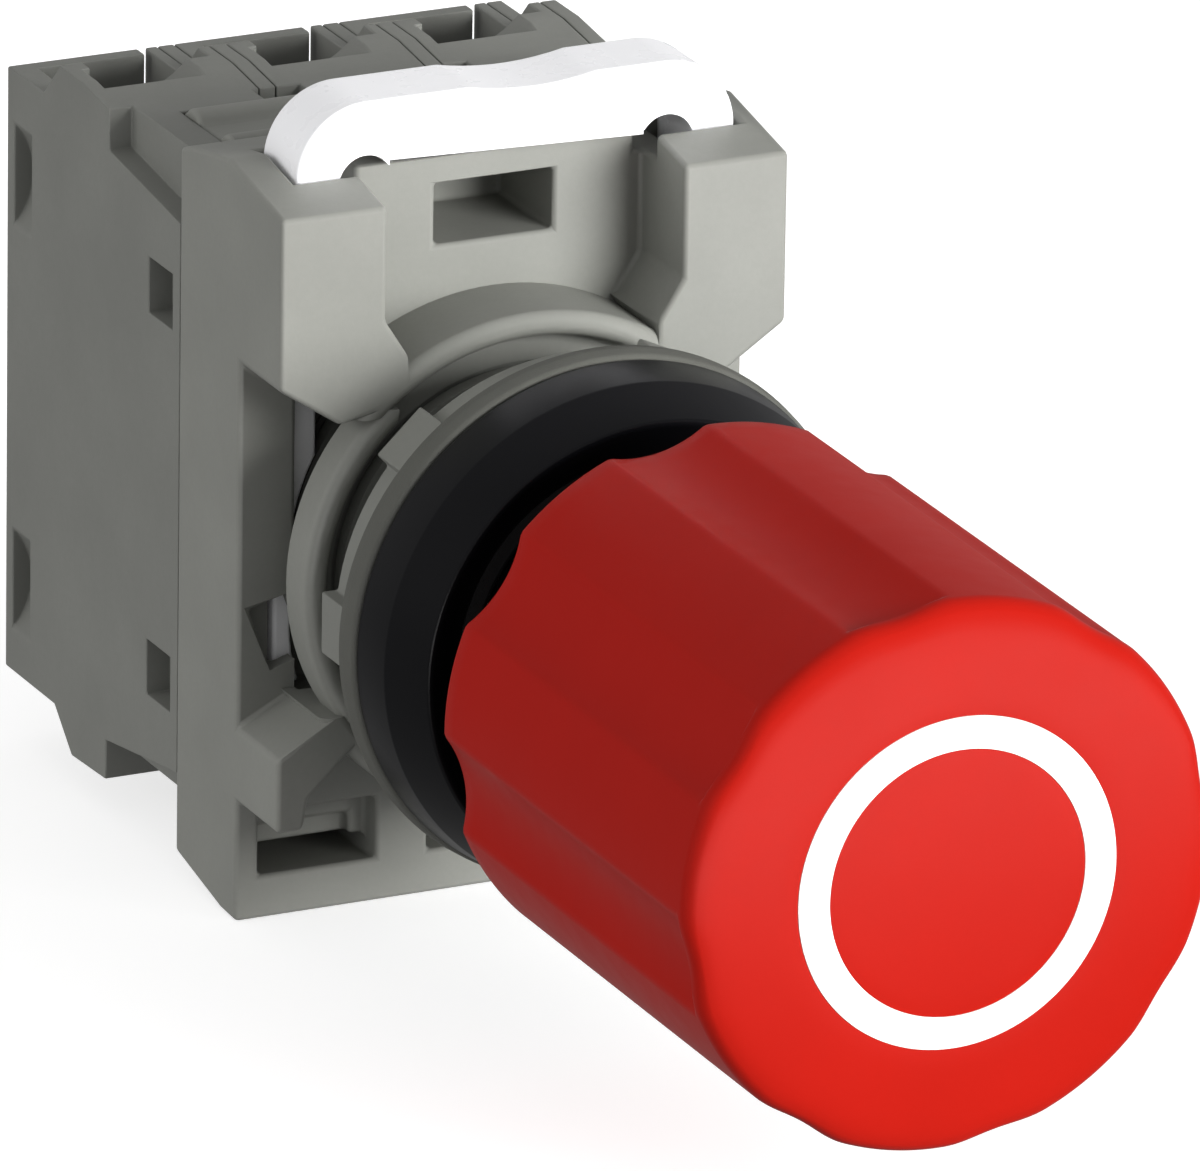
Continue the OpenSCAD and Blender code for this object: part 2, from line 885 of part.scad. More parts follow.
// The U-shaped wire entries at the top and the bottom, each with a slot in its back wall
module wire_entries() {
    depth_z = terminal_z - screw_head_r - 0.4;
    for (side = [-1, 1]) {
        low = side > 0 ? depth_z : -block_bottom - 4;
        high = side > 0 ? block_top + 4 : -depth_z;
        box(-inner_x + 0.4, inner_x - 0.7, wire_front_y, wire_back_y, low, high);
        box(inner_x - 1.15, inner_x - 0.7, wire_back_y - cut, back_y + cut, low, high);
    }
}

// A scooped lead-in to the upper wire entry, between the ridges at the sides, and a notch at its foot
module top_scoop() {
    scoop_r = 5.2;
    floor_z = block_top + 0.5;
    intersection() {
        translate([-1.9, 0, floor_z + scoop_r])
            rod(wire_front_y - 2.6, wire_front_y + cut, scoop_r);
        box(-block_w / 2 + 0.9, block_w / 2 - cover_t - 0.35, wire_front_y - 3, wire_back_y,
            floor_z - cut, block_top + 2 * ridge_h);
    }
    box(-2.9, 0.4, wire_front_y - 0.9, wire_front_y + cut, floor_z - 3, block_top + ridge_h);
    box(-1.8, -0.7, wire_front_y - 1.9, wire_front_y + cut, floor_z - 3, block_top + ridge_h);
}

// Screwdriver holes through the back wall
module screw_bores() {
    for (side = [-1, 1])
        translate([0, 0, side * terminal_z])
            rod(wire_back_y - cut, back_y + cut, screw_head_r + 0.3);
}

// Recesses in the side: two rounded ones at the back and two square windows at the front
module side_marks() {
    for (side = [-1, 1])
        translate([side * (block_w / 2 + 3.2), 0, 0])
            for (z = [13, -10.7])
                translate([0, 0, z])
                    rod(back_y - 3.3, back_y - 0.9, 4.4);
    for (side = [-1, 1])
        for (z = [10.8, -11.3])
            box(side * block_w / 2 - side_window, side * block_w / 2 + side_window,
                block_y + 1, block_y + 4.2, z, z + 3.2);
}

module block_housing(x) {
    color(grey)
        difference() {
            block_solid(x);
            translate([x, 0, 0]) {
                block_cavity(plunger_shift(x));
                box(block_w / 2 - cover_t, block_w, block_y - cut, back_y + cut, -30, 30);
            }
        }
}

module block_cover(x) {
    color("#a1a29b")
        difference() {
            block_solid(x);
            translate([x, 0, 0]) {
                block_cavity(plunger_shift(x));
                box(-block_w, block_w / 2 - cover_t + seat_gap, block_y - cut, back_y + cut, -30, 30);
            }
        }
}

// The room inside a block for the plunger, the bridge, the spring and the contacts
module block_cavity(shift) {
    hole = plunger_half + slide_gap;
    box(-inner_x, inner_x, block_y + 1.6, back_y - 1.2, -roof, roof);
    box(shift - hole, shift + hole, block_y - cut, block_y + 2, -hole, hole);
    for (side = [-1, 1])
        box(-1.6, 1.6, contact_face_y - 1.5, wire_front_y + 2,
            side > 0 ? roof - cut : -terminal_z - 0.9, side > 0 ? terminal_z + 0.9 : -roof + cut);
}

// How far the centre of a plunger is set towards the middle of the device
function plunger_shift(x) = x == 0 ? 0 : -sign(x) * 2.5;

// A plunger: a square stem with a window for the bridge, and a spigot for the spring
module block_plunger(x) {
    w = plunger_half;
    color("#b5402f")
        translate([x + plunger_shift(x), 0, 0])
            difference() {
                union() {
                    box(-w, w, plunger_y, plunger_end_y, -w, w);
                    rod(plunger_end_y - 0.1, plunger_end_y + 2, 0.7);
                }
                box(-w - cut, 0.75, bridge_y - 0.02, bridge_y + bridge_t + 2.2, -w - cut, w + cut);
            }
}

module block_bridge(x) {
    color(brass)
        translate([x + plunger_shift(x), 0, 0]) {
            box(-1, 0.7, bridge_y, bridge_y + bridge_t, -contact_reach - 0.9, contact_reach + 0.9);
        }
}

module block_spring(x) {
    color(steel)
        translate([x + plunger_shift(x), 0, 0])
            spring(plunger_end_y + seat_gap, back_y - 1.2 - seat_gap, block_spring_r, block_wire_r, 6);
}

// Two bent brass strips, each from a contact point to its terminal
module block_contacts(x) {
    color(brass)
        for (side = [0, 1])
            mirror([0, 0, side])
                translate([x, 0, 0]) {
                    shift = plunger_shift(x);
                    box(min(-0.9, shift - 0.9), max(0.9, shift + 0.9), contact_face_y - strip_t, contact_face_y,
                        contact_reach - 0.8, contact_reach + 1);
                    box(-0.9, 0.9, contact_face_y - strip_t, contact_face_y, contact_reach, terminal_z);
                    box(-0.9, 0.9, contact_face_y - strip_t, wire_front_y + 1.9, terminal_z - strip_t, terminal_z);
                }
}

// The box-shaped clamps in the wire entries
module block_clamps(x) {
    color(steel)
        for (side = [-1, 1])
            translate([x + screw_shift, 0, side * terminal_z])
                difference() {
                    box(-2.5, 2.5, clamp_y, clamp_y + clamp_t, -2, 2);
                    rod(wire_front_y, wire_back_y, screw_r + 0.05);
                }
}

module block_screws(x) {
    color(steel)
        for (side = [-1, 1])
            translate([x + screw_shift, 0, side * terminal_z])
                difference() {
                    union() {
                        rod(clamp_y - 0.1, wire_back_y - screw_head_len - 0.1, screw_r);
                        rod(wire_back_y - screw_head_len - 0.2, wire_back_y - 0.2, screw_head_r);
                    }
                    box(-screw_head_r - cut, screw_head_r + cut, wire_back_y - 1, wire_back_y + cut, -0.45, 0.45);
                }
}

red_head();
head_ring_mark();
head_hub();
release_cam();
spindle();
spindle_screw();
spindle_clip();
pusher();
return_spring();
spring_seat();
bezel();
front_seal();
panel_gasket();
locating_collar();
operator_body();
latch_balls();
latch_ring_spring();
holder_frame();
lock_yoke();
block_housing(-block_pitch);  // block_left_housing
block_cover(-block_pitch);  // block_left_cover
block_plunger(-block_pitch);  // block_left_plunger
block_bridge(-block_pitch);  // block_left_bridge
block_spring(-block_pitch);  // block_left_spring
block_contacts(-block_pitch);  // block_left_contacts
block_clamps(-block_pitch);  // block_left_clamps
block_screws(-block_pitch);  // block_left_screws
block_housing(0);  // block_centre_housing
block_cover(0);  // block_centre_cover
block_plunger(0);  // block_centre_plunger
block_bridge(0);  // block_centre_bridge
block_spring(0);  // block_centre_spring
block_contacts(0);  // block_centre_contacts
block_clamps(0);  // block_centre_clamps
block_screws(0);  // block_centre_screws
block_housing(block_pitch);  // block_right_housing
block_cover(block_pitch);  // block_right_cover
block_plunger(block_pitch);  // block_right_plunger
block_bridge(block_pitch);  // block_right_bridge
block_spring(block_pitch);  // block_right_spring
block_contacts(block_pitch);  // block_right_contacts
block_clamps(block_pitch);  // block_right_clamps
block_screws(block_pitch);  // block_right_screws
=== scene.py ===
"""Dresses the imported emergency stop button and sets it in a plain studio.

The file is laid out as an add-on: each operator makes one piece or one group of like pieces.
Sizes in the code are in millimetres and MM turns them into metres. The button's axis is Y.
"""

import json
import math

import bmesh
import bpy
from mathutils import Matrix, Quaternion, Vector


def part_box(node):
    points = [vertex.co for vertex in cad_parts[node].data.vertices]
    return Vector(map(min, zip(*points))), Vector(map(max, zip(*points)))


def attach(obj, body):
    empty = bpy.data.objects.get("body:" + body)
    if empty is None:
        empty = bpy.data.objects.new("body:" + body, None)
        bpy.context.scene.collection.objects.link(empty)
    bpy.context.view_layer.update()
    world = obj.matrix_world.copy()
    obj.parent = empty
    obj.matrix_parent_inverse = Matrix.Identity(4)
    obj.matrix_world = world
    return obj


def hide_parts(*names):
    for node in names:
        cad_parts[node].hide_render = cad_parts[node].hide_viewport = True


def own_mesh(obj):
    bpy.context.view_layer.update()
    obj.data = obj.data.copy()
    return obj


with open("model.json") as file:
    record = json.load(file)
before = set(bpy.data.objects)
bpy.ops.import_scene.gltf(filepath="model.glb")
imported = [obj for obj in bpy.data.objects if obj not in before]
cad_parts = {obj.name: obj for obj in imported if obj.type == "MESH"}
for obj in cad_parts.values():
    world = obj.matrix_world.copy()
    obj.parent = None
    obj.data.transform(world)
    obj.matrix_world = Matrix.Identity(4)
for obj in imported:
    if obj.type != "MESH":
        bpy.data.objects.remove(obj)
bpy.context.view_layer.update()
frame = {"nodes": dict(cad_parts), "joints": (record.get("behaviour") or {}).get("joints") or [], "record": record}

bl_info = {
    "name": "Emergency stop button",
    "version": (1, 0, 0),
    "blender": (4, 5, 0),
    "location": "View3D > Sidebar > Stop button",
    "description": "Models and finishes the pieces of an emergency stop button",
    "category": "Object",
}

MM = 0.001
# Corners closer than this are one corner
MERGE = 0.0005 * MM
CAD_MERGE = 0.002 * MM
# Width of the white ring in the head's face, and how much wider its groove is
MARK_W = 1.8
MARK_PLAY = 0.01
BLOCKS = ("left", "centre", "right")
SLOTS = {row["node"]: row["material_slot"] for row in frame["record"]["subparts"]}


def span(node):
    """A CAD node's lowest and highest corner, in millimetres."""
    low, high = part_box(node)
    return low / MM, high / MM


HEAD_LOW, HEAD_HIGH = span("red_head")
MARK_LOW, MARK_HIGH = span("head_ring_mark")
BEZEL_LOW, BEZEL_HIGH = span("bezel")
GASKET_LOW, GASKET_HIGH = span("panel_gasket")
HOLDER_LOW = span("holder_frame")[0]


# ---- Settings that a user would change ----


class HeadSettings(bpy.types.PropertyGroup):
    """Sizes and colour of the red head."""

    flutes: bpy.props.IntProperty(name="Flutes", description="Number of flutes", default=8, min=4, max=12)
    flute_half_angle: bpy.props.FloatProperty(
        name="Flute half angle", description="Half of the angle that a flute takes up",
        default=math.radians(10.75), unit="ROTATION")
    flute_phase: bpy.props.FloatProperty(
        name="First flute", description="Angle of the first flute round the axis",
        default=math.radians(11.5), unit="ROTATION")
    flute_depth: bpy.props.FloatProperty(
        name="Flute depth", description="Depth of a flute at its middle", default=0.9 * MM, unit="LENGTH")
    rim_dip: bpy.props.FloatProperty(
        name="Rim dip", description="Depth of the dips in the front rim", default=0.34 * MM, unit="LENGTH")
    colour: bpy.props.FloatVectorProperty(
        name="Colour", description="Colour of the moulded head", default=(0.36, 0.0085, 0.0045),
        subtype="COLOR", size=3, min=0, max=1)


class HolderSettings(bpy.types.PropertyGroup):
    """Edge rounding and colours of the holder, the yoke and the contact blocks."""

    edge: bpy.props.FloatProperty(
        name="Edge radius", description="Radius of the rounded edges", default=0.3 * MM, unit="LENGTH")
    block_edge: bpy.props.FloatProperty(
        name="Block edge radius", description="Radius of the edges of the contact blocks",
        default=0.12 * MM, unit="LENGTH")
    yoke_edge: bpy.props.FloatProperty(
        name="Yoke edge radius", description="Radius of the edges of the lock yoke",
        default=0.25 * MM, unit="LENGTH")
    holder_colour: bpy.props.FloatVectorProperty(
        name="Holder", description="Colour of the holder", default=(0.225, 0.228, 0.208),
        subtype="COLOR", size=3, min=0, max=1)
    block_colour: bpy.props.FloatVectorProperty(
        name="Blocks", description="Colour of the contact blocks", default=(0.190, 0.193, 0.177),
        subtype="COLOR", size=3, min=0, max=1)
    yoke_colour: bpy.props.FloatVectorProperty(
        name="Yoke", description="Colour of the lock yoke", default=(0.97, 0.97, 0.99),
        subtype="COLOR", size=3, min=0, max=1)


class StudioSettings(bpy.types.PropertyGroup):
    """The floor, the light and the camera."""

    floor_colour: bpy.props.FloatVectorProperty(
        name="Floor", description="Colour of the floor", default=(0.62, 0.62, 0.62),
        subtype="COLOR", size=3, min=0, max=1)
    floor_glow: bpy.props.FloatProperty(
        name="Floor glow", description="Light that comes through the floor, as on a light table", default=0.68)
    sky: bpy.props.FloatProperty(name="Sky", description="Strength of the light from above", default=0.46)
    ground: bpy.props.FloatProperty(name="Ground", description="Strength of the light from below", default=0.30)
    key: bpy.props.FloatProperty(
        name="Key light", description="Strength of the light from the front right",
        default=8.3)
    fill: bpy.props.FloatProperty(name="Fill light", description="Strength of the light from the left", default=1.9)
    sheen: bpy.props.FloatProperty(
        name="Sheen", description="Power of the panel that the face of the head reflects", default=5.0)
    azimuth: bpy.props.FloatProperty(
        name="Azimuth", description="Camera's angle round the object", default=math.radians(-25.47), unit="ROTATION")
    elevation: bpy.props.FloatProperty(
        name="Elevation", description="Camera's angle above the horizon", default=math.radians(20.08), unit="ROTATION")
    roll: bpy.props.FloatProperty(
        name="Roll", description="Camera's turn about its own view", default=math.radians(0.88), unit="ROTATION")
    distance: bpy.props.FloatProperty(
        name="Distance", description="From the camera to the point that it looks at", default=1.0209, unit="LENGTH")
    lens: bpy.props.FloatProperty(name="Lens", description="Focal length in millimetres", default=563)


# ---- Working by hand: small steps that every piece uses ----


def take(piece):
    """Makes one object the only selected one."""
    if bpy.context.object and bpy.context.object.mode != "OBJECT":
        bpy.ops.object.mode_set(mode="OBJECT")
    bpy.ops.object.select_all(action="DESELECT")
    if piece:
        piece.select_set(True)
    bpy.context.view_layer.objects.active = piece


def edit(piece):
    """Opens a piece's mesh with nothing selected."""
    take(piece)
    bpy.ops.object.mode_set(mode="EDIT")
    bpy.ops.mesh.select_mode(type="VERT")
    bpy.ops.mesh.select_all(action="DESELECT")


def pick(test):
    """Selects the vertices whose place, in millimetres, passes the test."""
    data = bpy.context.object.data
    mesh = bmesh.from_edit_mesh(data)
    for vertex in mesh.verts:
        vertex.select_set(bool(test(vertex.co / MM)))
    mesh.select_flush_mode()
    bmesh.update_edit_mesh(data)


def move(x, y, z):
    bpy.ops.transform.translate(value=(x * MM, y * MM, z * MM))


def swell(factor):
    """Scales what is selected about the button's axis."""
    bpy.ops.transform.resize(value=(factor, 1, factor), center_override=(0, 0, 0))


def drag(x, y, z):
    """Extrudes what is selected."""
    bpy.ops.mesh.extrude_region_move(TRANSFORM_OT_translate={"value": (x * MM, y * MM, z * MM)})


def tidy_mesh(piece, smooth=35):
    """Merges doubles, turns the faces outwards and smooths the gentle edges."""
    edit(piece)
    bpy.ops.mesh.select_all(action="SELECT")
    bpy.ops.mesh.remove_doubles(threshold=MERGE)
    bpy.ops.mesh.normals_make_consistent(inside=False)
    smooth_piece(piece, smooth)


def smooth_piece(piece, angle=35):
    take(piece)
    bpy.ops.object.shade_smooth_by_angle(angle=math.radians(angle), keep_sharp_edges=False)


def name_piece(name):
    piece = bpy.context.object
    piece.name = piece.data.name = name
    return piece


def draw(name, points):
    """A new piece, begun as a line drawn through points given in millimetres."""
    take(None)
    bpy.ops.mesh.primitive_plane_add(size=MM)
    piece = name_piece(name)
    edit(piece)
    bpy.ops.mesh.select_all(action="SELECT")
    bpy.ops.mesh.merge(type="CENTER")
    move(*points[0])
    for here, there in zip(points, points[1:]):
        drag(*(Vector(there) - Vector(here)))
    return piece


def corners(points, radii, steps=5):
    """A closed outline with its corners rounded, each by its own radius."""
    drawn = []
    count = len(points)
    for i, radius in enumerate(radii):
        corner = Vector(points[i])
        before = Vector(points[i - 1]) - corner
        after = Vector(points[(i + 1) % count]) - corner
        if radius <= 0:
            drawn.append(corner)
            continue
        half = before.angle(after) / 2
        reach = radius / math.tan(half)
        reach = min(reach, 0.49 * before.length, 0.49 * after.length)
        radius = reach * math.tan(half)
        centre = corner + (before.normalized() + after.normalized()).normalized() * (radius / math.sin(half))
        start = corner + before.normalized() * reach - centre
        end = corner + after.normalized() * reach - centre
        turn = start.angle_signed(end)
        for step in range(steps + 1):
            angle = -turn * step / steps
            cosine, sine = math.cos(angle), math.sin(angle)
            drawn.append(centre + Vector((start.x * cosine - start.y * sine, start.x * sine + start.y * cosine)))
    return drawn


def turn_on_lathe(name, profile, steps=160, smooth=35, phase=0):
    """Spins a section of (radius, y) points round the button's axis, from a starting angle.

    The section is closed, or begins and ends on the axis.
    """
    cosine, sine = math.cos(phase), math.sin(phase)
    points = [(x * cosine, y, x * sine) for x, y in profile]
    if profile[0][0] > 0 or profile[-1][0] > 0:
        points.append(points[0])
    piece = draw(name, points)
    bpy.ops.mesh.select_all(action="SELECT")
    bpy.ops.mesh.remove_doubles(threshold=MERGE)
    bpy.ops.mesh.select_all(action="SELECT")
    bpy.ops.mesh.spin(steps=steps, angle=2 * math.pi, center=(0, 0, 0), axis=(0, 1, 0))
    tidy_mesh(piece, smooth)
    return piece


def round_edges(piece, radius, steps=3, sharper_than=30, keep=None):
    """Rounds the edges that are sharper than an angle and pass a test of their two ends, if one is given."""
    edit(piece)
    bpy.ops.mesh.select_mode(type="EDGE")
    bpy.ops.mesh.edges_select_sharp(sharpness=math.radians(sharper_than))
    if keep:
        mesh = bmesh.from_edit_mesh(piece.data)
        for edge in mesh.edges:
            if edge.select and not keep(*(vertex.co / MM for vertex in edge.verts)):
                edge.select_set(False)
        bmesh.update_edit_mesh(piece.data)
    bpy.ops.transform.edge_bevelweight(value=1)
    take(piece)
    bevel = piece.modifiers.new("Round", "BEVEL")
    bevel.width = radius
    bevel.segments = steps
    bevel.limit_method = "WEIGHT"
    bevel.use_clamp_overlap = False
    bpy.ops.object.modifier_apply(modifier=bevel.name)


def flatten_shading(piece, angle=40):
    """Smooths the rounded edges and leaves the large faces flat."""
    smooth_piece(piece, angle)
    weigh = piece.modifiers.new("Weigh", "WEIGHTED_NORMAL")
    weigh.keep_sharp = True
    bpy.ops.object.modifier_apply(modifier=weigh.name)


def combine(piece, other, operation):
    """Joins another solid to a piece, or cuts it out of the piece, and removes the other."""
    take(piece)
    step = piece.modifiers.new("Shape", "BOOLEAN")
    step.operation = operation
    step.solver = "EXACT"
    step.object = other
    bpy.ops.object.modifier_apply(modifier=step.name)
    bpy.data.objects.remove(other)


def brick(name, low, high):
    """A box between two corners."""
    take(None)
    low, high = Vector(low) * MM, Vector(high) * MM
    bpy.ops.mesh.primitive_cube_add(size=1, location=(low + high) / 2, scale=high - low)
    bpy.ops.object.transform_apply(location=True, rotation=True, scale=True)
    return name_piece(name)


def moulded_copy(node, name, radius, steps=3, sharper_than=30, keep=None):
    """A copy of a CAD node with its triangles merged and its edges rounded like a moulding's."""
    piece = bpy.data.objects.new(name, frame["nodes"][node].data.copy())
    piece.data.name = name
    piece.data.materials.clear()
    bpy.context.scene.collection.objects.link(piece)
    edit(piece)
    bpy.ops.mesh.customdata_custom_splitnormals_clear()
    bpy.ops.mesh.select_all(action="SELECT")
    bpy.ops.mesh.remove_doubles(threshold=CAD_MERGE)
    bpy.ops.mesh.dissolve_limited(angle_limit=math.radians(1.5))
    round_edges(piece, radius, steps, sharper_than, keep)
    flatten_shading(piece)
    return piece


def fit(piece, finish, body, slot, *nodes):
    """Gives a finished piece its material, the body that it rides on and the nodes that it stands for."""
    take(None)
    piece.data.materials.clear()
    piece.data.materials.append(finish)
    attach(piece, body)
    if nodes:
        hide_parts(*nodes)


# ---- Finishes ----


class Reading:
    """An output of a shader node that can be used in sums: each sum adds its Math node."""

    def __init__(self, finish, socket):
        self.finish = finish
        self.socket = socket

    def sum(self, operation, first, second):
        return self.finish.add("ShaderNodeMath", {"operation": operation}, {0: first, 1: second})

    def __add__(self, other):
        return self.sum("ADD", self, other)

    def __radd__(self, other):
        return self.sum("ADD", other, self)

    def __sub__(self, other):
        return self.sum("SUBTRACT", self, other)

    def __rsub__(self, other):
        return self.sum("SUBTRACT", other, self)

    def __mul__(self, other):
        return self.sum("MULTIPLY", self, other)

    def __rmul__(self, other):
        return self.sum("MULTIPLY", other, self)

    def __truediv__(self, other):
        return self.sum("DIVIDE", self, other)

    def __rtruediv__(self, other):
        return self.sum("DIVIDE", other, self)

    def __pow__(self, other):
        return self.sum("POWER", self, other)


class Nodes:
    """A node tree, emptied and built up again."""

    def __init__(self, owner):
        owner.use_nodes = True
        self.tree = owner.node_tree
        self.tree.nodes.clear()

    def add(self, kind, settings, inputs, output=0):
        """Adds a node with its settings and the values or links of its sockets."""
        node = self.tree.nodes.new(kind)
        for key, value in settings.items():
            if key == "stops":
                self.set_stops(node.color_ramp, value)
            else:
                setattr(node, key, value)
        for key, value in inputs.items():
            if isinstance(value, Reading):
                self.tree.links.new(value.socket, node.inputs[key])
            else:
                node.inputs[key].default_value = value
        return Reading(self, node.outputs[output])

    @staticmethod
    def set_stops(ramp, stops):
        while len(ramp.elements) < len(stops):
            ramp.elements.new(0.5)
        for element, (place, level) in zip(ramp.elements, stops):
            element.position = place
            element.color = (level, level, level, 1)

    def add_output(self, kind, surface):
        node = self.tree.nodes.new(kind)
        self.tree.links.new(surface.socket, node.inputs["Surface"])


class Finish(Nodes):
    """A material built from nodes, placed by the piece's own coordinates."""

    def __init__(self, name):
        self.material = bpy.data.materials.new(name)
        super().__init__(self.material)
        self.place = self.add("ShaderNodeTexCoord", {}, {}, "Object")

    def noise(self, size, detail=2.0, stretch=(1, 1, 1)):
        """Noise whose patches are about size millimetres across."""
        place = self.add("ShaderNodeMapping", {}, {"Vector": self.place, "Scale": stretch})
        return self.add(
            "ShaderNodeTexNoise", {"noise_dimensions": "3D"},
            {"Vector": place, "Scale": 1 / (size * MM), "Detail": detail, "Roughness": 0.5})

    def levels(self, value, stops):
        return self.add("ShaderNodeValToRGB", {"stops": stops}, {"Fac": value})

    def mix(self, share, first, second):
        """One colour over another."""
        return self.add("ShaderNodeMix", {"data_type": "RGBA"}, {0: share, 6: first, 7: second}, 2)

    def bumps(self, height, depth, under=None):
        """A normal from a height; depth is in millimetres."""
        inputs = {"Height": height, "Strength": 1.0, "Distance": depth * MM}
        if under is not None:
            inputs["Normal"] = under
        return self.add("ShaderNodeBump", {}, inputs)

    def coat(self, **sockets):
        """The surface itself; underscores in a socket's name stand for spaces."""
        inputs = {key.replace("_", " "): value for key, value in sockets.items()}
        surface = self.add("ShaderNodeBsdfPrincipled", {}, inputs, "BSDF")
        self.add_output("ShaderNodeOutputMaterial", surface)
        return self.material


def tint(colour, factor):
    """A colour made lighter or darker, with its alpha."""
    return (*[min(1.0, channel * factor) for channel in colour[:3]], 1.0)


def moulded_plastic(name, colour, rough, grain, grain_depth, shine=0.3, spread=0.05):
    """Moulded plastic: slight cloudiness from the melt, a fine tool texture and uneven gloss."""
    finish = Finish(name)
    cloud = finish.levels(finish.noise(7, 3), [(0.3, 0), (0.7, 1)])
    speck = finish.levels(finish.noise(0.35, 2), [(0.35, 0), (0.65, 1)])
    base = finish.mix(cloud, tint(colour, 1 - spread), tint(colour, 1 + spread))
    base = finish.mix(speck * 0.12, base, tint(colour, 1 - 4 * spread))
    texture = finish.noise(grain, 3)
    waves = finish.noise(3.5, 1)
    normal = finish.bumps(waves, grain_depth * 4, finish.bumps(texture, grain_depth))
    uneven = finish.noise(1.6, 3)
    return finish.coat(
        Base_Color=base,
        Roughness=rough - 0.05 + 0.1 * uneven,
        Specular_IOR_Level=shine,
        Normal=normal)


def rubber(name, colour):
    """Rubber: matt, with a chalky bloom in patches and fine pits."""
    finish = Finish(name)
    bloom = finish.levels(finish.noise(2.4, 4), [(0.4, 0), (0.75, 1)])
    base = finish.mix(bloom * 0.35, tint(colour, 1), tint(colour, 1.35))
    pits = finish.levels(finish.noise(0.12, 3), [(0.3, 0), (0.5, 1)])
    return finish.coat(
        Base_Color=base, Roughness=0.72 + 0.12 * bloom, Specular_IOR_Level=0.35,
        Normal=finish.bumps(pits, 0.008))


def turned_metal(name, colour, rough, lines=(1, 14, 1), stain=0.12):
    """Metal with fine tool lines round the axis and a faint, uneven film."""
    finish = Finish(name)
    tool_lines = finish.noise(0.6, 3, lines)
    film = finish.levels(finish.noise(1.8, 4), [(0.35, 0), (0.75, 1)])
    base = finish.mix(film * stain, tint(colour, 1), tint(colour, 0.55))
    return finish.coat(
        Base_Color=base, Metallic=1.0, Roughness=rough + 0.14 * tool_lines + 0.08 * film,
        Normal=finish.bumps(tool_lines, 0.004))


FINISHES = {}


def make_finishes(context):
    """Every material of the object, by the record's slot."""
    head, holder = context.scene.stop_head, context.scene.stop_holder
    FINISHES.update({
        "red_plastic": moulded_plastic("red_head_plastic", head.colour, 0.36, 0.5, 0.0012, 0.045, 0.02),
        "white_mark": moulded_plastic("white_mark_plastic", (0.88, 0.87, 0.84), 0.42, 0.4, 0.002),
        "white_plastic": moulded_plastic("white_yoke_plastic", holder.yoke_colour, 0.28, 0.6, 0.0012, 0.3, 0.01),
        "black_plastic": moulded_plastic("black_satin_plastic", (0.004, 0.004, 0.005), 0.3, 0.3, 0.002, 0.14),
        "black_rubber": rubber("black_seal_rubber", (0.012, 0.012, 0.013)),
        "grey_rubber": rubber("grey_gasket_rubber", (0.088, 0.089, 0.079)),
        "dark_grey_plastic": moulded_plastic("dark_collar_plastic", (0.190, 0.193, 0.176), 0.5, 0.22, 0.004),
        "grey_plastic": moulded_plastic("grey_holder_plastic", holder.holder_colour, 0.46, 0.2, 0.004),
        "block_plastic": moulded_plastic("grey_block_plastic", holder.block_colour, 0.52, 0.16, 0.005),
        "cream_plastic": moulded_plastic("cream_guide_plastic", (0.62, 0.58, 0.48), 0.4, 0.3, 0.002),
        "plunger_plastic": moulded_plastic("plunger_red_plastic", (0.35, 0.03, 0.015), 0.42, 0.3, 0.002),
        "bright_steel": turned_metal("bright_ground_steel", (0.62, 0.62, 0.63), 0.14),
        "zinc_steel": turned_metal("zinc_plated_steel", (0.60, 0.60, 0.57), 0.28, (1, 3, 1), 0.3),
        "spring_steel": turned_metal("drawn_spring_wire", (0.50, 0.50, 0.51), 0.24, (4, 4, 4)),
        "contact_brass": turned_metal("contact_brass", (0.72, 0.53, 0.26), 0.26, (1, 6, 1), 0.35),
    })


# ---- Pieces ----


class STOP_OT_finishes(bpy.types.Operator):
    """Makes the materials and paints the CAD nodes that stay as they are"""

    bl_idname = "stop.finishes"
    bl_label = "Finishes"

    def execute(self, context):
        make_finishes(context)
        for node, piece in frame["nodes"].items():
            slot = SLOTS[node]
            blocky = node.startswith("block_") and slot == "grey_plastic"
            piece.data.materials.clear()
            piece.data.materials.append(FINISHES["block_plastic" if blocky else slot])
        return {"FINISHED"}


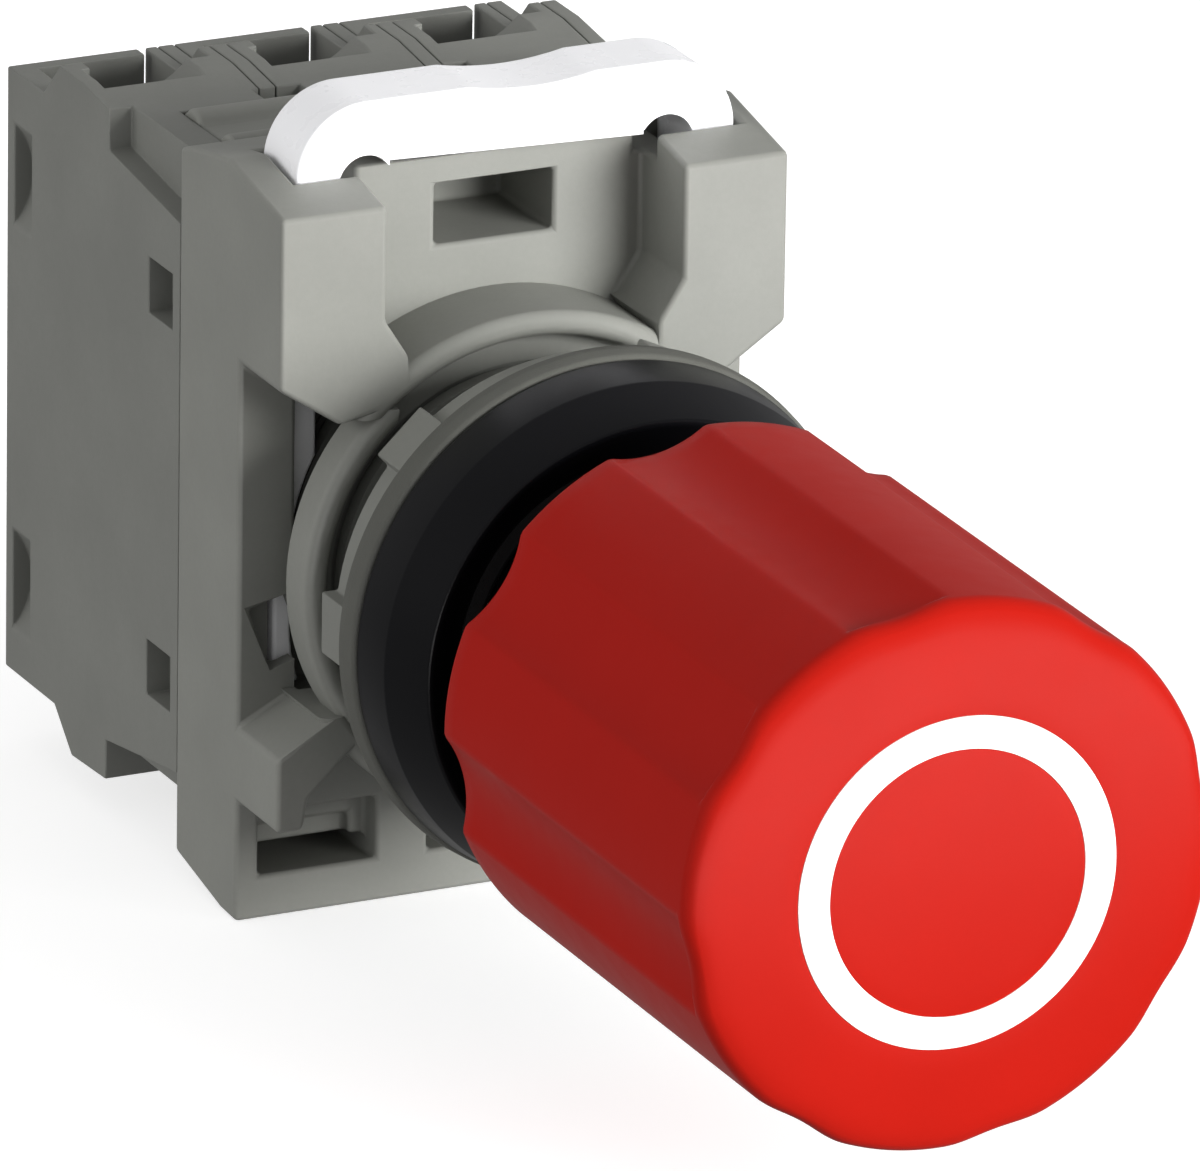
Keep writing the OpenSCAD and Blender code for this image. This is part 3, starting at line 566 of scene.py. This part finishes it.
class STOP_OT_head(bpy.types.Operator):
    """Turns the red head on the lathe, then draws its flutes and the dips in its rim inwards"""

    bl_idname = "stop.head"
    bl_label = "Head"

    per_flute = 48
    rim_r = 1.15
    side_wall = 2
    front_wall = 4
    # Length of the smooth band in front of the flutes, and of its rounded part
    band = 2
    rounded = 1.7

    def profile(self, land, face, rear):
        """The head's section: inside, rear edge, skirt, rim, face, and the groove for the mark."""
        inside, ceiling = land - self.side_wall, face + self.front_wall
        out, inn = MARK_HIGH.x + MARK_PLAY, MARK_HIGH.x - MARK_W - MARK_PLAY
        points = [(0, ceiling), (inside * 0.5, ceiling), (inside - 0.4, ceiling), (inside - 0.1, ceiling + 0.1),
                  (inside, ceiling + 0.4), (inside, ceiling + 3), (inside, rear - 0.3),
                  (inside + 0.08, rear - 0.1), (inside + 0.3, rear), (land - 0.35, rear),
                  (land - 0.16, rear - 0.07), (land - 0.05, rear - 0.2), (land, rear - 0.4)]
        wall = face + self.band
        points += [(land, rear - 1.4 - 3.2 * step) for step in range(8)]
        points += [(land, wall + level) for level in (0.5, 0.14, 0.08, 0.03, -0.02, -0.07, -0.13, -0.2)]
        for angle in range(0, 70, 10):
            turn = math.radians(angle)
            points.append((land - self.rim_r * (1 - math.cos(turn)), face + self.rounded - self.rim_r * math.sin(turn)))
        points += [(14.15, face + 0.54), (13.6, face + 0.445), (12.8, face + 0.36), (11.6, face + 0.26),
                   (10.4, face + 0.19), (out + 0.06, face + 0.15), (out + 0.02, face + 0.155), (out, face + 0.18),
                   (out, face + 0.7), (inn, face + 0.7), (inn, face + 0.14), (inn - 0.02, face + 0.115),
                   (inn - 0.06, face + 0.11), (6.2, face + 0.085), (4.4, face + 0.045), (2.4, face + 0.014),
                   (0.8, face + 0.002), (0, face)]
        return points

    def flute_depth(self, settings, offset, land):
        """Depth of a flute at an angle from its middle; its edges are slightly softened."""
        half_w = land * math.sin(settings.flute_half_angle)
        sag = settings.flute_depth / MM - land * (1 - math.cos(settings.flute_half_angle))
        arc = (half_w ** 2 + sag ** 2) / (2 * sag)
        centre = land - settings.flute_depth / MM + arc
        sideways = centre * math.sin(offset)
        if abs(sideways) >= arc:
            return 0
        depth = land - centre * math.cos(offset) + math.sqrt(arc ** 2 - sideways ** 2)
        soft = 0.035
        return soft * math.log(1 + math.exp(depth / soft))

    def draw_in(self, settings, low, high, depth_at, land):
        """Draws the rings between two places along the axis inwards by a depth for each angle."""
        pitch = 2 * math.pi / settings.flutes
        half_step = pitch / self.per_flute / 2
        for step in range(self.per_flute // 2 + 1):
            offset = pitch * step / self.per_flute
            depth = depth_at(offset)
            if depth < 0.002:
                continue

            def mine(co, offset=offset):
                if not low < co.y < high or math.hypot(co.x, co.z) < land - 1.7:
                    return False
                angle = (math.atan2(co.z, co.x) - settings.flute_phase + pitch / 2) % pitch - pitch / 2
                return abs(abs(angle) - offset) < half_step

            pick(mine)
            swell(1 - depth / land)

    def execute(self, context):
        settings = context.scene.stop_head
        land, face, rear = HEAD_HIGH.x, HEAD_LOW.y, HEAD_HIGH.y
        half = settings.flute_half_angle
        steps = settings.flutes * self.per_flute
        piece = turn_on_lathe("red_head_shell", self.profile(land, face, rear), steps, 28, settings.flute_phase)
        edit(piece)
        wall = face + self.band

        def flute(offset):
            return self.flute_depth(settings, offset, land)

        def dip(offset):
            wave = 0.5 + 0.5 * math.cos(math.pi * min(1, offset / (1.08 * half)))
            return settings.rim_dip / MM * wave

        def blend(share):
            return lambda offset: flute(offset) * share + dip(offset) * (1 - share)

        self.draw_in(settings, wall + 0.1, rear + 0.1, flute, land)
        for level, share in ((0.08, 0.95), (0.03, 0.75), (-0.02, 0.5), (-0.07, 0.25), (-0.13, 0.08)):
            self.draw_in(settings, wall + level - 0.02, wall + level + 0.02, blend(share), land)
        self.draw_in(settings, face + 1.66, wall - 0.18, dip, land)
        for angle in range(10, 70, 10):
            place = face + self.rounded - self.rim_r * math.sin(math.radians(angle))
            share = 1 - 0.45 * angle / 60
            self.draw_in(settings, place - 0.005, place + 0.005, lambda offset: dip(offset) * share, land)
        self.draw_in(settings, face + 0.52, face + 0.56, lambda offset: dip(offset) * 0.35, land)
        smooth_piece(piece, 28)
        fit(piece, FINISHES["red_plastic"], "head", "red_plastic", "red_head")
        return {"FINISHED"}


class STOP_OT_mark(bpy.types.Operator):
    """Turns the white ring that lies in the face of the head"""

    bl_idname = "stop.mark"
    bl_label = "Ring mark"

    def execute(self, context):
        outer, inner = MARK_HIGH.x, MARK_HIGH.x - MARK_W
        front, back = MARK_LOW.y, MARK_HIGH.y
        profile = corners([(inner, front), (outer, front + 0.03), (outer, back), (inner, back)], [0.04, 0.04, 0, 0])
        piece = turn_on_lathe("white_ring_mark", profile, 192)
        fit(piece, FINISHES["white_mark"], "head", "white_mark", "head_ring_mark")
        return {"FINISHED"}


class STOP_OT_bezel(bpy.types.Operator):
    """Turns the bezel with its chamfer, its dished mouth and its rounded lips"""

    bl_idname = "stop.bezel"
    bl_label = "Bezel"

    def execute(self, context):
        outer, back, front = BEZEL_HIGH.x, BEZEL_HIGH.y, BEZEL_LOW.y
        edge = outer - 1.55
        seat, flange = outer - 1.7, back - 3.05
        mouth = seat - 2.35
        profile = corners(
            [(seat, back), (outer, back), (outer - 0.35, back - 3), (edge, front), (edge - 0.3, front),
             (mouth, front + 1.7), (mouth, flange), (seat, flange)],
            [0, 0.3, 0.7, 0.28, 0.28, 0.35, 0, 0], 6)
        piece = turn_on_lathe("bezel_ring", profile, 192)
        fit(piece, FINISHES["black_plastic"], "operator", "black_plastic", "bezel")
        return {"FINISHED"}


class STOP_OT_gasket(bpy.types.Operator):
    """Turns the rubber gasket with two sealing beads on its rear face"""

    bl_idname = "stop.gasket"
    bl_label = "Gasket"

    def execute(self, context):
        outer, front, back = GASKET_HIGH.x, GASKET_LOW.y, GASKET_HIGH.y
        bore = outer - 4.04
        profile = corners(
            [(bore, front + 0.02), (outer - 0.1, front + 0.02), (outer, front + 1), (outer - 0.1, back - 0.02),
             (bore, back - 0.02)],
            [0, 0.3, 0.4, 0.45, 0], 5)
        piece = turn_on_lathe("gasket_disc", profile, 160)
        fit(piece, FINISHES["grey_rubber"], "operator", "grey_rubber", "panel_gasket")
        return {"FINISHED"}


class STOP_OT_collar(bpy.types.Operator):
    """Rounds the edges of the lugged collar"""

    bl_idname = "stop.collar"
    bl_label = "Collar"

    def execute(self, context):
        piece = moulded_copy("locating_collar", "lugged_collar", 0.14 * MM, 2)
        fit(piece, FINISHES["dark_grey_plastic"], "operator", "dark_grey_plastic", "locating_collar")
        return {"FINISHED"}


class STOP_OT_holder(bpy.types.Operator):
    """Rounds the edges of the holder"""

    bl_idname = "stop.holder"
    bl_label = "Holder"

    # The ring's own short edges stay crisp
    ring_r = 14.4
    long_edge = 1.2

    def execute(self, context):
        def off_the_ring(one, other):
            """True of edges outside the ring, and of long ones that run into it."""
            reach = sorted(math.hypot(co.x, co.z) for co in (one, other))
            return reach[0] > self.ring_r or (reach[1] > self.ring_r and (one - other).length > self.long_edge)

        edge = context.scene.stop_holder.edge
        piece = moulded_copy("holder_frame", "holder_moulding", edge, 3, keep=off_the_ring)
        fit(piece, FINISHES["grey_plastic"], "holder", "grey_plastic", "holder_frame")
        return {"FINISHED"}


class STOP_OT_yoke(bpy.types.Operator):
    """Rounds the edges of the lock yoke"""

    bl_idname = "stop.yoke"
    bl_label = "Lock yoke"

    short_edge = 0.3

    def execute(self, context):
        def off_the_arches(one, other):
            """The small arches beside the legs are drawn with short edges, and stay crisp."""
            return (one - other).length > self.short_edge

        edge = context.scene.stop_holder.yoke_edge
        piece = moulded_copy("lock_yoke", "lock_yoke_moulding", edge, 4, keep=off_the_arches)
        fit(piece, FINISHES["white_plastic"], "yoke", "white_plastic", "lock_yoke")
        return {"FINISHED"}


class STOP_OT_blocks(bpy.types.Operator):
    """Rounds the edges of the contact blocks' housings and covers"""

    bl_idname = "stop.blocks"
    bl_label = "Contact blocks"

    def execute(self, context):
        edge = context.scene.stop_holder.block_edge
        for block in BLOCKS:
            for part in ("housing", "cover"):
                node = f"block_{block}_{part}"
                piece = moulded_copy(node, f"{block}_{part}_moulding", edge, 2)
                fit(piece, FINISHES["block_plastic"], "holder", "grey_plastic", node)
        return {"FINISHED"}


class STOP_OT_screws(bpy.types.Operator):
    """Models one terminal screw with a slotted cross head and copies it to every terminal"""

    bl_idname = "stop.screws"
    bl_label = "Terminal screws"

    head_len = 1.8
    shank_r = 1.45
    cross_reach = 0.68
    cross_half_w = 0.32
    cross_depth = 1.0
    slot_half_w = 0.27
    slot_depth = 0.55

    def model(self):
        """The upper screw of the left block."""
        low, high = span("block_left_screws")
        head_r = (high.x - low.x) / 2
        x, z = (low.x + high.x) / 2, high.z - head_r
        front, back = low.y, high.y
        under = back - self.head_len
        profile = corners(
            [(0, front), (self.shank_r - 0.2, front), (self.shank_r, front + 0.3), (self.shank_r, under),
             (head_r, under), (head_r, back - 0.5), (head_r - 0.55, back - 0.02), (0, back)],
            [0, 0.1, 0.1, 0, 0.12, 0.25, 0.4, 0], 4)
        piece = turn_on_lathe("terminal_screw", profile, 48)
        for turn in (0, 1):
            long, short = head_r * self.cross_reach, self.cross_half_w
            half_x, half_z = (long, short) if turn else (short, long)
            slot = brick("slot", (-half_x, back - self.cross_depth, -half_z), (half_x, back + 1, half_z))
            combine(piece, slot, "DIFFERENCE")
        slot = brick("slot", (-head_r - 1, back - self.slot_depth, -self.slot_half_w),
                     (head_r + 1, back + 1, self.slot_half_w))
        combine(piece, slot, "DIFFERENCE")
        round_edges(piece, 0.05 * MM, 1)
        edit(piece)
        bpy.ops.mesh.select_all(action="SELECT")
        move(x, 0, z)
        smooth_piece(piece)
        return piece, z

    def execute(self, context):
        first, height = self.model()
        for number, block in enumerate(BLOCKS):
            node = f"block_{block}_screws"
            shift = span(node)[0].x - span("block_left_screws")[0].x
            for where, drop in (("upper", 0), ("lower", -2 * height)):
                piece = first if number == 0 and drop == 0 else bpy.data.objects.new("copy", first.data.copy())
                if piece is not first:
                    bpy.context.scene.collection.objects.link(piece)
                    edit(piece)
                    bpy.ops.mesh.select_all(action="SELECT")
                    move(shift, 0, drop)
                    take(piece)
                piece.name = piece.data.name = f"{block}_{where}_terminal_screw"
                fit(piece, FINISHES["zinc_steel"], "holder", "zinc_steel", node)
        return {"FINISHED"}


class STOP_OT_springs(bpy.types.Operator):
    """Winds the return spring and the contact springs from round wire"""

    bl_idname = "stop.springs"
    bl_label = "Springs"

    # Radii of the wire, and how far the coils stay inside the CAD's rings
    return_wire = 0.5
    contact_wire = 0.18
    inset = 0.02

    def wind(self, name, x, mean, wire, front, back, turns, steps):
        """A coil about an axis along Y through x, made by screwing a small ring."""
        take(None)
        bpy.ops.mesh.primitive_circle_add(
            vertices=12, radius=wire * MM, fill_type="NOTHING", location=(mean * MM, (front + wire) * MM, 0))
        piece = name_piece(name)
        bpy.ops.object.transform_apply(location=True, rotation=True, scale=True)
        coil = piece.modifiers.new("Wind", "SCREW")
        coil.axis = "Y"
        coil.angle = -2 * math.pi * turns
        coil.screw_offset = (back - front - 2 * wire) * MM
        coil.steps = coil.render_steps = steps * turns
        coil.use_merge_vertices = False
        bpy.ops.object.modifier_apply(modifier=coil.name)
        edit(piece)
        bpy.ops.mesh.select_non_manifold()
        bpy.ops.mesh.fill_holes(sides=0)
        bpy.ops.mesh.select_all(action="SELECT")
        move(x, 0, 0)
        tidy_mesh(piece, 60)
        return piece

    def execute(self, context):
        low, high = span("return_spring")
        wire = self.return_wire
        piece = self.wind("return_coil", 0, high.x - wire - 0.05, wire, low.y + self.inset, high.y - self.inset, 7, 40)
        fit(piece, FINISHES["spring_steel"], "operator", "spring_steel", "return_spring")
        travel = next(j["range_m"][1] for j in frame["joints"] if j["name"] == "head_push")
        length = (high.y - low.y) * MM
        1 - travel / length
        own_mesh(piece)
        for block in BLOCKS:
            node = f"block_{block}_spring"
            low, high = span(node)
            wire = self.contact_wire
            mean = (high.x - low.x) / 2 - wire - self.inset
            middle = (high.x + low.x) / 2
            ends = low.y + self.inset, high.y - self.inset
            piece = self.wind(f"{block}_contact_coil", middle, mean, wire, *ends, 6, 24)
            fit(piece, FINISHES["spring_steel"], "holder", "spring_steel", node)
            length = (high.y - low.y) * MM
            1 - travel / length
            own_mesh(piece)
        return {"FINISHED"}


def towards(azimuth, elevation):
    """The direction from the object to a lamp or the camera, from straight in front."""
    return Vector((math.sin(azimuth) * math.cos(elevation),
                   -math.cos(azimuth) * math.cos(elevation), math.sin(elevation)))


class STOP_OT_studio(bpy.types.Operator):
    """Sets the floor, the lights and the camera"""

    bl_idname = "stop.studio"
    bl_label = "Studio"

    # Half of the height of the band in which the sky turns into the ground
    horizon = 0.15
    # How far the floor lies under the holder, so that the two don't share a plane
    under = 0.02
    aim = Vector((5.80, 7.28, -3.23)) * MM

    def execute(self, context):
        settings = context.scene.stop_studio
        take(None)
        floor_z = (HOLDER_LOW.z - self.under) * MM
        bpy.ops.mesh.primitive_plane_add(size=12, location=(0, 0, floor_z))
        floor = name_piece("studio_floor")
        finish = Finish("studio_floor_paint")
        shade = finish.noise(60, 2)
        base = finish.mix(shade, tint(settings.floor_colour, 0.995), tint(settings.floor_colour, 1.0))
        floor.data.materials.append(finish.coat(
            Base_Color=base, Roughness=0.9, Specular_IOR_Level=0.1,
            Emission_Color=(1, 1, 1, 1), Emission_Strength=settings.floor_glow))
        # the table top carries the shadow, but throws no light back up at the button
        floor.visible_diffuse = floor.visible_glossy = False

        self.sky(context, settings)
        self.sun("key_light", settings.key, math.radians(28), math.radians(6), math.radians(40))
        self.sun("fill_light", settings.fill, math.radians(-95), math.radians(4), math.radians(60))
        self.sheen(settings.sheen)
        self.camera(context, settings)
        context.scene.view_settings.view_transform = "Standard"
        return {"FINISHED"}

    def sky(self, context, settings):
        """Light from all round, brighter from above than from below."""
        world = bpy.data.worlds.new("studio_sky")
        sky = Nodes(world)
        place = sky.add("ShaderNodeTexCoord", {}, {}, "Generated")
        height = sky.add("ShaderNodeSeparateXYZ", {}, {"Vector": place}, "Z")
        strength = sky.add("ShaderNodeMapRange", {}, {
            "Value": height, "From Min": -self.horizon, "From Max": self.horizon,
            "To Min": settings.ground, "To Max": settings.sky})
        light = sky.add("ShaderNodeBackground", {}, {"Color": (1, 1, 1, 1), "Strength": strength}, "Background")
        sky.add_output("ShaderNodeOutputWorld", light)
        context.scene.world = world

    def sun(self, name, strength, azimuth, elevation, softness):
        """A broad, soft light that shines from an angle round the object and above the horizon."""
        take(None)
        bpy.ops.object.light_add(type="SUN")
        light = bpy.context.object
        light.name = name
        light.data.energy = strength
        light.data.angle = softness
        light.visible_glossy = False
        back = towards(azimuth, elevation)
        light.rotation_mode = "QUATERNION"
        light.rotation_quaternion = (-back).to_track_quat("-Z", "Y")

    def sheen(self, power):
        """A panel on the floor in front of the head that is seen only in reflections."""
        take(None)
        bpy.ops.object.light_add(type="AREA", location=(0.08, -0.26, HOLDER_LOW.z * MM), rotation=(math.pi, 0, 0))
        light = bpy.context.object
        light.name = "sheen_panel"
        light.data.shape = "RECTANGLE"
        light.data.size, light.data.size_y = 0.5, 0.32
        light.data.energy = power
        light.visible_camera = light.visible_diffuse = light.visible_transmission = False

    def camera(self, context, settings):
        """The camera, aimed at a point inside the object."""
        take(None)
        bpy.ops.object.camera_add()
        camera = bpy.context.object
        back = towards(settings.azimuth, settings.elevation)
        camera.location = self.aim + back * settings.distance
        camera.rotation_mode = "QUATERNION"
        camera.rotation_quaternion = (-back).to_track_quat("-Z", "Y") @ Quaternion((0, 0, 1), settings.roll)
        camera.data.lens = settings.lens
        camera.data.sensor_width = 36
        camera.data.clip_start, camera.data.clip_end = 0.01, 50
        context.scene.camera = camera


PIECES = (
    STOP_OT_finishes,
    STOP_OT_head,
    STOP_OT_mark,
    STOP_OT_bezel,
    STOP_OT_gasket,
    STOP_OT_collar,
    STOP_OT_holder,
    STOP_OT_yoke,
    STOP_OT_blocks,
    STOP_OT_screws,
    STOP_OT_springs,
    STOP_OT_studio,
)


class STOP_PT_pieces(bpy.types.Panel):
    """Lists the settings and the pieces"""

    bl_idname = "STOP_PT_pieces"
    bl_label = "Stop button"
    bl_space_type = "VIEW_3D"
    bl_region_type = "UI"
    bl_category = "Stop button"

    def draw(self, context):
        for group in (context.scene.stop_head, context.scene.stop_holder, context.scene.stop_studio):
            box = self.layout.box()
            for key in group.bl_rna.properties.keys():
                if key not in ("rna_type", "name"):
                    box.prop(group, key)
        for piece in PIECES:
            self.layout.operator(piece.bl_idname)


SETTINGS = {"stop_head": HeadSettings, "stop_holder": HolderSettings, "stop_studio": StudioSettings}


def register():
    for group in (*SETTINGS.values(), *PIECES, STOP_PT_pieces):
        bpy.utils.register_class(group)
    for key, group in SETTINGS.items():
        setattr(bpy.types.Scene, key, bpy.props.PointerProperty(type=group))


def unregister():
    for key in SETTINGS:
        delattr(bpy.types.Scene, key)
    for group in reversed((*SETTINGS.values(), *PIECES, STOP_PT_pieces)):
        bpy.utils.unregister_class(group)


def main():
    register()
    for piece in PIECES:
        area, action = piece.bl_idname.split(".")
        getattr(getattr(bpy.ops, area), action)()


if __name__ == "__main__":
    main()
